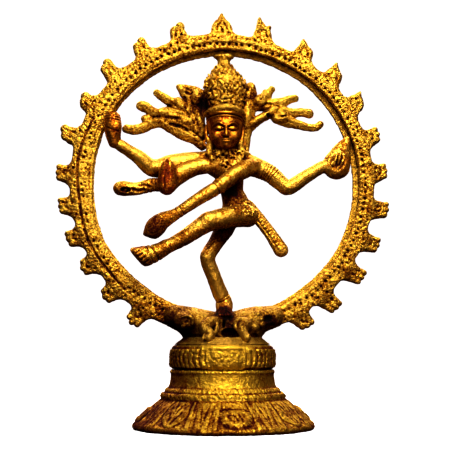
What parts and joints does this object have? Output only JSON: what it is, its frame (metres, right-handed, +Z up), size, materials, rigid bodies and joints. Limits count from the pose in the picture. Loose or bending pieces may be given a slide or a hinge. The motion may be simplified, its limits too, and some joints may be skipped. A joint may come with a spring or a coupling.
{
  "type": "brass nataraja statue",
  "caption": "Small cast brass dancing figure inside a ring of flames, on a dwarf, on a hollow turned pedestal; stands on the flat rim of its foot.",
  "frame": {"origin": "centre of the pedestal's foot, on the surface it stands on", "axes": "+Z up; the figure faces -Y, so the ring lies in the X-Z plane; the dancer's own right is at -X"},
  "size_m": [0.122, 0.0648, 0.152],
  "materials": {
    "old_brass": "aged cast brass, brown in the recesses",
    "dusty_brass": "dusty olive-brown cast brass",
    "plain_steel": "plain steel, hidden",
    "pitted_brass": "yellow cast brass, pitted and punched, dark in the hollows",
    "limb_brass": "smooth worn brass, bronze-brown in the shade",
    "brown_brass": "brass under a red-brown patina"
  },
  "bodies": {
    "root": {"pedestal_foot": "old_brass", "pedestal_drum": "old_brass", "pedestal_deck": "dusty_brass", "fixing_screw": "plain_steel", "fixing_washer": "plain_steel", "dwarf_body": "dusty_brass", "dwarf_head": "dusty_brass", "dwarf_arm": "dusty_brass", "dwarf_leg": "dusty_brass", "flame_ring": "pitted_brass", "standing_leg": "limb_brass", "raised_leg": "limb_brass", "sash": "limb_brass", "torso": "limb_brass", "neck_collar": "pitted_brass", "head": "brown_brass", "crown": "pitted_brass", "hair_fan_right": "pitted_brass", "hair_fan_left": "pitted_brass", "drum_arm": "limb_brass", "hand_drum": "brown_brass", "blessing_arm": "limb_brass", "blessing_hand": "brown_brass", "serpent": "limb_brass", "crossing_arm": "limb_brass", "flame_arm": "limb_brass", "flame_bowl": "limb_brass"}
  },
  "joints": []
}
